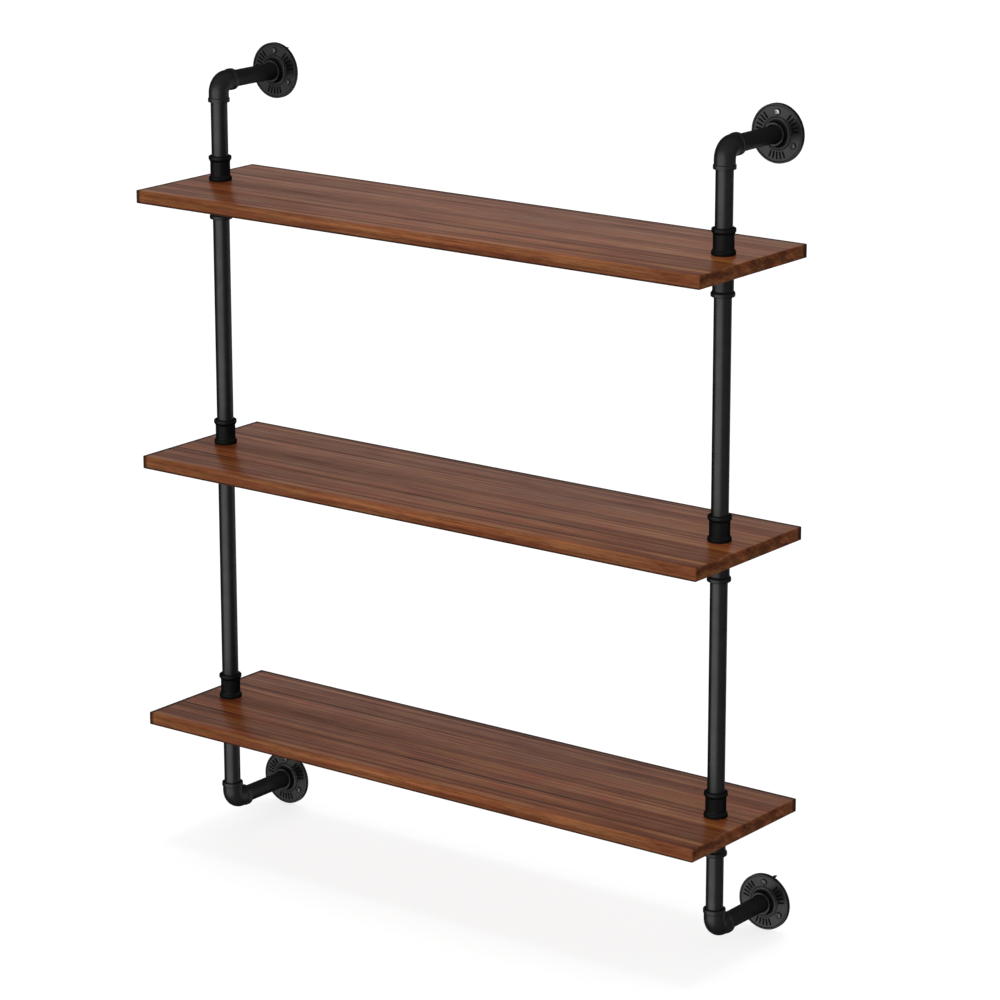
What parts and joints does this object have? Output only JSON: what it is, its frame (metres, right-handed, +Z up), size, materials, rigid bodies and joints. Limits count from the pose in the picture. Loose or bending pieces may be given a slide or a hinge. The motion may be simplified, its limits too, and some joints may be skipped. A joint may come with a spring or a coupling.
{
  "type": "wall shelf",
  "caption": "Wall-mounted shelf of long wooden boards clamped on two black threaded-pipe uprights with beaded couplings, elbows and round screw flanges.",
  "frame": {"origin": "on the wall plane, midway between the four flanges", "axes": "+X along the boards to the viewer's right, +Y into the wall, +Z up"},
  "size_m": [1.067, 0.3137, 1.2862],
  "materials": {
    "walnut_board": "satin lacquer over lengthwise red-brown grain",
    "black_pipe": "satin black coating",
    "black_fitting": "satin black coating over a fine cast texture",
    "black_screw": "dark phosphate",
    "bright_screw": "bright zinc"
  },
  "bodies": {
    "root": {"shelf_upper": "walnut_board", "shelf_middle": "walnut_board", "shelf_lower": "walnut_board", "left_flange_top": "black_fitting", "left_flange_bottom": "black_fitting", "left_elbow_top": "black_fitting", "left_elbow_bottom": "black_fitting", "left_coupling_upper_above": "black_fitting", "left_coupling_upper_below": "black_fitting", "left_coupling_middle_above": "black_fitting", "left_coupling_middle_below": "black_fitting", "left_coupling_lower_above": "black_fitting", "left_coupling_lower_below": "black_fitting", "left_arm_top": "black_pipe", "left_arm_bottom": "black_pipe", "left_drop_pipe": "black_pipe", "left_riser_1": "black_pipe", "left_riser_2": "black_pipe", "left_foot_pipe": "black_pipe", "left_stud_upper": "black_pipe", "left_stud_middle": "black_pipe", "left_stud_lower": "black_pipe", "left_top_screw_1": "black_screw", "left_top_screw_2": "black_screw", "left_top_screw_3": "black_screw", "left_bottom_screw_1": "black_screw", "left_bottom_screw_2": "black_screw", "left_bottom_screw_3": "black_screw", "right_flange_top": "black_fitting", "right_flange_bottom": "black_fitting", "right_elbow_top": "black_fitting", "right_elbow_bottom": "black_fitting", "right_coupling_upper_above": "black_fitting", "right_coupling_upper_below": "black_fitting", "right_coupling_middle_above": "black_fitting", "right_coupling_middle_below": "black_fitting", "right_coupling_lower_above": "black_fitting", "right_coupling_lower_below": "black_fitting", "right_arm_top": "black_pipe", "right_arm_bottom": "black_pipe", "right_drop_pipe": "black_pipe", "right_riser_1": "black_pipe", "right_riser_2": "black_pipe", "right_foot_pipe": "black_pipe", "right_stud_upper": "black_pipe", "right_stud_middle": "black_pipe", "right_stud_lower": "black_pipe", "right_top_screw_1": "bright_screw", "right_top_screw_2": "black_screw", "right_top_screw_3": "black_screw", "right_bottom_screw_1": "black_screw", "right_bottom_screw_2": "black_screw", "right_bottom_screw_3": "black_screw"}
  },
  "joints": []
}
